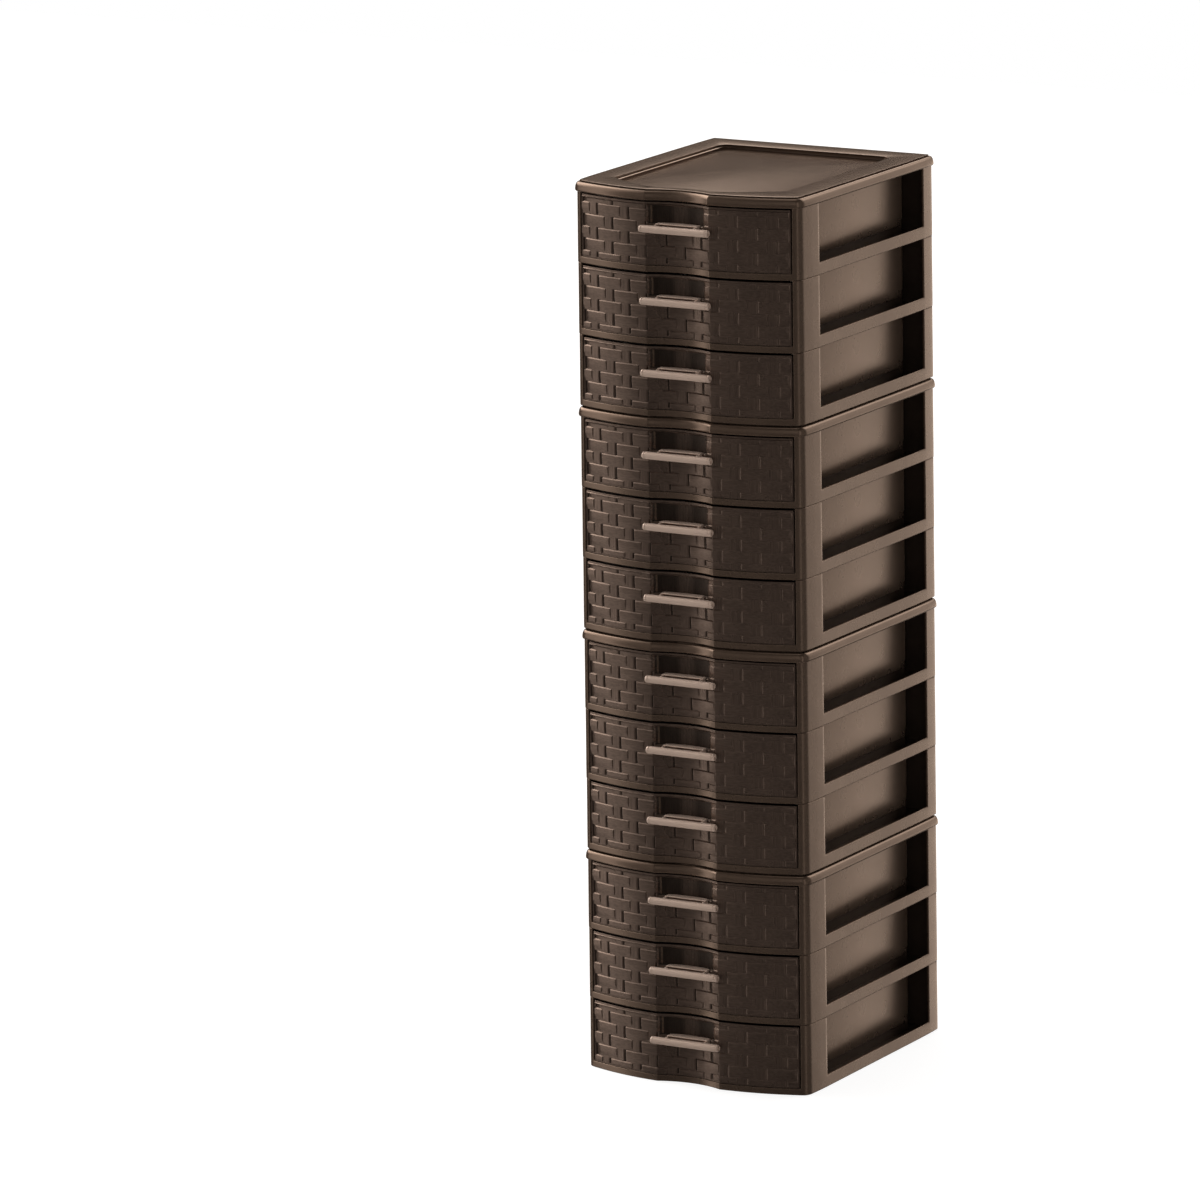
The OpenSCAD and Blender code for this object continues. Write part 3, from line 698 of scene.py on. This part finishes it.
# ---------------------------------------------------------------- materials
def new_material(name):
    mat = bpy.data.materials.new(name)
    mat.use_nodes = True
    tree = mat.node_tree
    return mat, tree, tree.nodes["Principled BSDF"]


def add(tree, kind, **values):
    """Node with its properties and its input values set."""
    node = tree.nodes.new(kind)
    for key, value in values.items():
        if hasattr(node, key):
            setattr(node, key, value)
        else:
            node.inputs[key.replace("_", " ")].default_value = value
    return node


def maths(tree, operation, *terms):
    """Output of a maths node whose terms are outputs to link or plain numbers."""
    node = add(tree, "ShaderNodeMath", operation=operation)
    for socket, term in zip(node.inputs, terms):
        if isinstance(term, (int, float)):
            socket.default_value = term
        else:
            tree.links.new(term, socket)
    return node.outputs["Value"]


def noise(tree, place, scale, detail, roughness):
    tex = add(tree, "ShaderNodeTexNoise", Scale=scale, Detail=detail, Roughness=roughness)
    tree.links.new(place, tex.inputs["Vector"])
    return tex.outputs["Fac"]


def remap(tree, source, lo, hi, to_lo=0.0, to_hi=1.0):
    node = add(tree, "ShaderNodeMapRange", From_Min=lo, From_Max=hi, To_Min=to_lo, To_Max=to_hi)
    tree.links.new(source, node.inputs["Value"])
    return node.outputs["Result"]


def streaks(tree, place):
    """Fine lines that run along the strand on top, across or upright."""
    lines = []
    for stretch in ((1.0, 1.0, 30.0), (30.0, 1.0, 1.0)):
        move = add(tree, "ShaderNodeMapping", vector_type="TEXTURE")
        move.inputs["Scale"].default_value = stretch
        tree.links.new(place, move.inputs["Vector"])
        lines.append(noise(tree, move.outputs["Vector"], 900.0, 3.0, 0.6))
    across = add(tree, "ShaderNodeAttribute", attribute_name="across")
    pick = add(tree, "ShaderNodeMix", data_type="FLOAT")
    for source, socket in zip((across.outputs["Fac"], *lines), ("Factor", "A", "B")):
        tree.links.new(source, pick.inputs[socket])
    return pick.outputs["Result"]


def weave_shade(tree, colour, lines):
    """Colour darkened in the depth of the relief, which is painted shade, and between its streaks."""
    relief = add(tree, "ShaderNodeAttribute", attribute_name="relief")
    # painted shade: the colour falls to 0.28 of itself where the surface lies more than about 1.1 mm below
    # the weave's top, in grooves and the pocket
    painted_groove_shade = remap(tree, relief.outputs["Fac"], 0.02, 0.3, 0.28, 1.0)
    line = remap(tree, lines, 0.3, 0.7, 0.74, 1.22)
    shade = add(tree, "ShaderNodeVectorMath", operation="SCALE")
    tree.links.new(colour, shade.inputs[0])
    tree.links.new(maths(tree, "MULTIPLY", painted_groove_shade, line), shade.inputs["Scale"])
    return shade.outputs["Vector"]


def plastic(name, dark, light, rough=(0.24, 0.32), bump=0.004, weave_lines_and_shade=False, sheen=0.55):
    """Moulded plastic: mottled colour, fine mould grain and a roughness that varies a little."""
    mat, tree, shader = new_material(name)
    link = tree.links.new
    place = add(tree, "ShaderNodeTexCoord").outputs["Object"]
    mix = add(tree, "ShaderNodeMix", data_type="RGBA")
    mix.inputs["A"].default_value = (*dark, 1)
    mix.inputs["B"].default_value = (*light, 1)
    link(remap(tree, noise(tree, place, 14.0, 3.0, 0.6), 0.35, 0.65), mix.inputs["Factor"])
    colour = mix.outputs["Result"]
    height = streaks(tree, place) if weave_lines_and_shade else noise(tree, place, 500.0, 2.0, 0.5)
    # the weave's colour also gets painted shade in the depth of its relief
    if weave_lines_and_shade:
        colour = weave_shade(tree, colour, height)
    link(colour, shader.inputs["Base Color"])
    link(remap(tree, noise(tree, place, 45.0, 2.0, 0.5), 0.3, 0.7, *rough), shader.inputs["Roughness"])
    dent = add(tree, "ShaderNodeBump", Strength=bump, Distance=0.0004)
    link(height, dent.inputs["Height"])
    link(dent.outputs["Normal"], shader.inputs["Normal"])
    shader.inputs["IOR"].default_value = 1.36
    shader.inputs["Metallic"].default_value = sheen
    shader.inputs["Specular Tint"].default_value = (1.0, 0.84, 0.72, 1.0)
    return mat


MATERIALS = {
    "frame_plastic": plastic("frame_satin_plastic", (0.104, 0.072, 0.054), (0.124, 0.086, 0.064)),
    # darker than the frame's plastic as painted shade inside the frame; rougher and with less sheen as its
    # matte finish
    "inner_matte_painted_shade": plastic("inner_matte_painted_shade_plastic", (0.060, 0.041, 0.031), (0.076, 0.053, 0.040),
                           rough=(0.50, 0.60), bump=0.02, sheen=0.2),
    "cover_plastic": plastic("cover_satin_plastic", (0.108, 0.074, 0.055), (0.128, 0.088, 0.066),
                             rough=(0.20, 0.22), bump=0.0015),
    "drawer_plastic": plastic("tray_satin_plastic", (0.122, 0.085, 0.063), (0.140, 0.097, 0.072),
                              rough=(0.27, 0.29)),
    "front_weave": plastic("front_woven_plastic", (0.088, 0.062, 0.050), (0.112, 0.079, 0.063),
                           rough=(0.26, 0.40), bump=0.4, weave_lines_and_shade=True),
    "handle_plastic": plastic("handle_taupe_plastic", (0.53, 0.41, 0.345), (0.60, 0.465, 0.39),
                              rough=(0.30, 0.40), sheen=0.15),
}


# ---------------------------------------------------------------- pieces
def piece(name, me, mat, z, body, slot, *stands_for):
    """One visible piece: an object on a shared mesh, z mm up, riding on a CAD body."""
    obj = bpy.data.objects.new(name, me)
    if not me.materials:
        me.materials.append(MATERIALS[mat])
    bpy.context.scene.collection.objects.link(obj)
    obj.location = (0, 0, z * MM)
    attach(obj, body)
    if stands_for:
        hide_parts(*stands_for)


FRAME, FRONT, TRAY, HANDLE, COVER = frame_mesh(), front_mesh(), tray_mesh(), handle_mesh(), cover_mesh()
for u in range(1, UNITS + 1):
    base = (u - 1) * UNIT_PITCH
    piece(f"unit{u}_top_cover", COVER, "cover_plastic", base + TIERS * TIER_PITCH - COVER_LAP, "tower",
          "cover_plastic", f"unit{u}_cover")
    for t in range(1, TIERS + 1):
        z = base + (t - 1) * TIER_PITCH
        body = f"unit{u}_drawer{t}_body"
        piece(f"unit{u}_shell{t}", FRAME, "frame_plastic", z, "tower", "frame_plastic", f"unit{u}_frame{t}")
        piece(f"unit{u}_front{t}", FRONT, "front_weave", z, body, "drawer_plastic")
        piece(f"unit{u}_tray{t}", TRAY, "drawer_plastic", z, body, "drawer_plastic", f"unit{u}_drawer{t}")
        piece(f"unit{u}_pull{t}", HANDLE, "handle_plastic", z, body, "handle_plastic", f"unit{u}_handle{t}")


# ---------------------------------------------------------------- studio
STUDIO_FILL = 0.045
# (azimuth, half width, softness) in degrees, (lowest, highest) as sine of elevation, radiance
STUDIO_LIGHTS = (
    (-63, 10, 5, -0.6, 0.75, 2.0),
    (-97, 22, 8, 0.30, 0.80, 7.0),
    (-46, 18, 9, -0.6, 0.75, 0.20),
    (5, 45, 20, -0.7, 0.6, 0.07),
    (5, 45, 20, 0.05, 0.5, 0.14),
    (25, 18, 10, 0.10, 0.6, 0.30),
    (-20, 50, 15, 0.80, 0.93, 0.12),
    (166, 24, 15, -0.35, 0.0, 1.5),
    (153, 16, 10, 0.0, 0.75, 1.5),
    (153, 18, 10, 0.32, 0.75, 2.1),
    (174, 10, 6, -0.35, -0.04, 1.8),
    (66, 6, 5, -0.45, 0.5, 0.9),
    (85, 35, 25, -0.45, 0.5, 0.22),
    (214, 33, 20, 0.36, 0.75, 3.9),
    (0, 200, 5, 0.965, 1.2, 2.4),
    (0, 200, 5, -1.2, -0.75, 0.30),
)
BACKDROP, BACKDROP_TOP = (210, 32, 8), -0.10  # azimuth, half width, softness; highest sine of elevation
LEVEL_SOFT = 0.06                          # softness of a light's lower and upper border, as a sine
FLOOR_HALF, FLOOR_DROP = 6.0, 0.0005       # in metres
FLOOR_GLOW, FLOOR_BOUNCE, FLOOR_SHADOW = 0.86, 0.50, 0.30


def any_ray(tree, *kinds):
    """1 for the named kinds of ray, 0 for the others."""
    rays = add(tree, "ShaderNodeLightPath")
    total = rays.outputs[kinds[0]]
    for kind in kinds[1:]:
        total = maths(tree, "MAXIMUM", total, rays.outputs[kind])
    return total


def mix_shaders(tree, share, first, second):
    mix = add(tree, "ShaderNodeMixShader")
    for source, socket in zip((share, first, second), mix.inputs):
        tree.links.new(source, socket)
    return mix.outputs["Shader"]


def studio_world():
    """White to the camera and, behind the tower, in reflections; else a soft studio with a dim front."""
    world = bpy.data.worlds.new("studio")
    bpy.context.scene.world = world
    world.use_nodes = True
    tree = world.node_tree
    tree.nodes.clear()
    out = add(tree, "ShaderNodeOutputWorld")
    white = add(tree, "ShaderNodeBackground", Strength=1.0, Color=(1, 1, 1, 1))
    soft = add(tree, "ShaderNodeBackground", Color=(1, 0.95, 0.90, 1))
    coord = add(tree, "ShaderNodeTexCoord")
    split = add(tree, "ShaderNodeSeparateXYZ")
    tree.links.new(coord.outputs["Generated"], split.inputs["Vector"])
    azimuth = maths(tree, "ARCTAN2", split.outputs["X"], maths(tree, "MULTIPLY", split.outputs["Y"], -1.0))

    def sector(centre, width, edge):
        """1 within width degrees of an azimuth, soft at its borders."""
        away = maths(tree, "SUBTRACT", azimuth, math.radians(centre))
        size = maths(tree, "ABSOLUTE", maths(tree, "WRAP", away, math.pi, -math.pi))
        share = add(tree, "ShaderNodeMapRange", interpolation_type="SMOOTHSTEP", To_Min=1.0, To_Max=0.0,
                    From_Min=math.radians(width - edge), From_Max=math.radians(width + edge))
        tree.links.new(size, share.inputs["Value"])
        return share.outputs["Result"]

    def above(level, inside, outside):
        """inside above a sine of elevation, outside below it, soft between."""
        step = add(tree, "ShaderNodeMapRange", interpolation_type="SMOOTHSTEP",
                   To_Min=outside, To_Max=inside,
                   From_Min=level - LEVEL_SOFT, From_Max=level + LEVEL_SOFT)
        tree.links.new(split.outputs["Z"], step.inputs["Value"])
        return step.outputs["Result"]

    def times(a, b):
        return maths(tree, "MULTIPLY", a, b)

    total = STUDIO_FILL
    for centre, width, edge, low, high, strength in STUDIO_LIGHTS:
        lamp = times(times(sector(centre, width, edge), above(low, strength, 0.0)), above(high, 0.0, 1.0))
        total = maths(tree, "ADD", lamp, total)
    tree.links.new(total, soft.inputs["Strength"])
    drop = times(any_ray(tree, "Is Glossy Ray"), times(sector(*BACKDROP), above(BACKDROP_TOP, 0.0, 1.0)))
    seen = maths(tree, "MAXIMUM", any_ray(tree, "Is Camera Ray", "Is Transmission Ray"), drop)
    tree.links.new(mix_shaders(tree, seen, soft.outputs["Background"], white.outputs["Background"]),
                   out.inputs["Surface"])


def floor():
    """White floor that shows only the tower's shadow, and is left out of its reflections."""
    bm = bmesh.new()
    bmesh.ops.create_grid(bm, x_segments=1, y_segments=1, size=FLOOR_HALF)
    me = bpy.data.meshes.new("studio_floor")
    bm.to_mesh(me)
    bm.free()
    obj = bpy.data.objects.new("studio_floor", me)
    bpy.context.scene.collection.objects.link(obj)
    obj.location.z = -FLOOR_DROP
    obj.visible_glossy = False
    obj.visible_shadow = False
    mat, tree, shader = new_material("studio_floor_white")
    shader.inputs["Base Color"].default_value = (FLOOR_BOUNCE, FLOOR_BOUNCE, FLOOR_BOUNCE, 1)
    shader.inputs["Roughness"].default_value = 0.9
    glow = add(tree, "ShaderNodeEmission", Strength=FLOOR_GLOW)
    shadow = add(tree, "ShaderNodeBsdfDiffuse", Color=(FLOOR_SHADOW, FLOOR_SHADOW, FLOOR_SHADOW, 1))
    white = add(tree, "ShaderNodeAddShader")
    tree.links.new(glow.outputs["Emission"], white.inputs[0])
    tree.links.new(shadow.outputs["BSDF"], white.inputs[1])
    seen = any_ray(tree, "Is Camera Ray", "Is Transmission Ray", "Is Glossy Ray")
    tree.links.new(mix_shaders(tree, seen, shader.outputs["BSDF"], white.outputs["Shader"]),
                   tree.nodes["Material Output"].inputs["Surface"])
    me.materials.append(mat)


studio_world()
floor()


# ---------------------------------------------------------------- camera
CAM_AZ, CAM_EL, CAM_ROLL = math.radians(29.88), math.radians(12.52), math.radians(0.90)
CAM_DIST, CAM_FOCAL = 9.0, 8438.3          # in metres, and in pixels of the photograph
PHOTO_SIZE, SENSOR = 1200, 36.0            # the photograph's side in pixels, the sensor's in mm
FIT_Y = 150.0                              # the camera was fitted round this point, mm behind the wings' ends
AIM_RIGHT, AIM_UP = -0.16929, 0.01572      # in metres


def camera():
    """Camera at the photograph's viewing angle, with a long lens."""
    back = Vector((math.sin(CAM_AZ) * math.cos(CAM_EL), -math.cos(CAM_AZ) * math.cos(CAM_EL),
                   math.sin(CAM_EL)))
    right = Vector((math.cos(CAM_AZ), math.sin(CAM_AZ), 0))
    up = back.cross(right)
    centre = Vector((0, (FIT_Y - MID_Y) * MM, UNITS / 2 * UNIT_PITCH * MM))
    aim = centre + right * AIM_RIGHT + up * AIM_UP
    data = bpy.data.cameras.new("photo_camera")
    data.sensor_width = SENSOR
    data.lens = SENSOR * CAM_FOCAL / PHOTO_SIZE
    data.clip_start, data.clip_end = 0.5, 60
    cam = bpy.data.objects.new("photo_camera", data)
    bpy.context.scene.collection.objects.link(cam)
    basis = Matrix((right, up, back)).transposed().to_4x4()
    roll = Matrix.Rotation(-CAM_ROLL, 4, "Z")
    cam.matrix_world = Matrix.Translation(aim + back * CAM_DIST) @ basis @ roll
    bpy.context.scene.camera = cam


camera()
bpy.context.scene.view_settings.view_transform = "Standard"
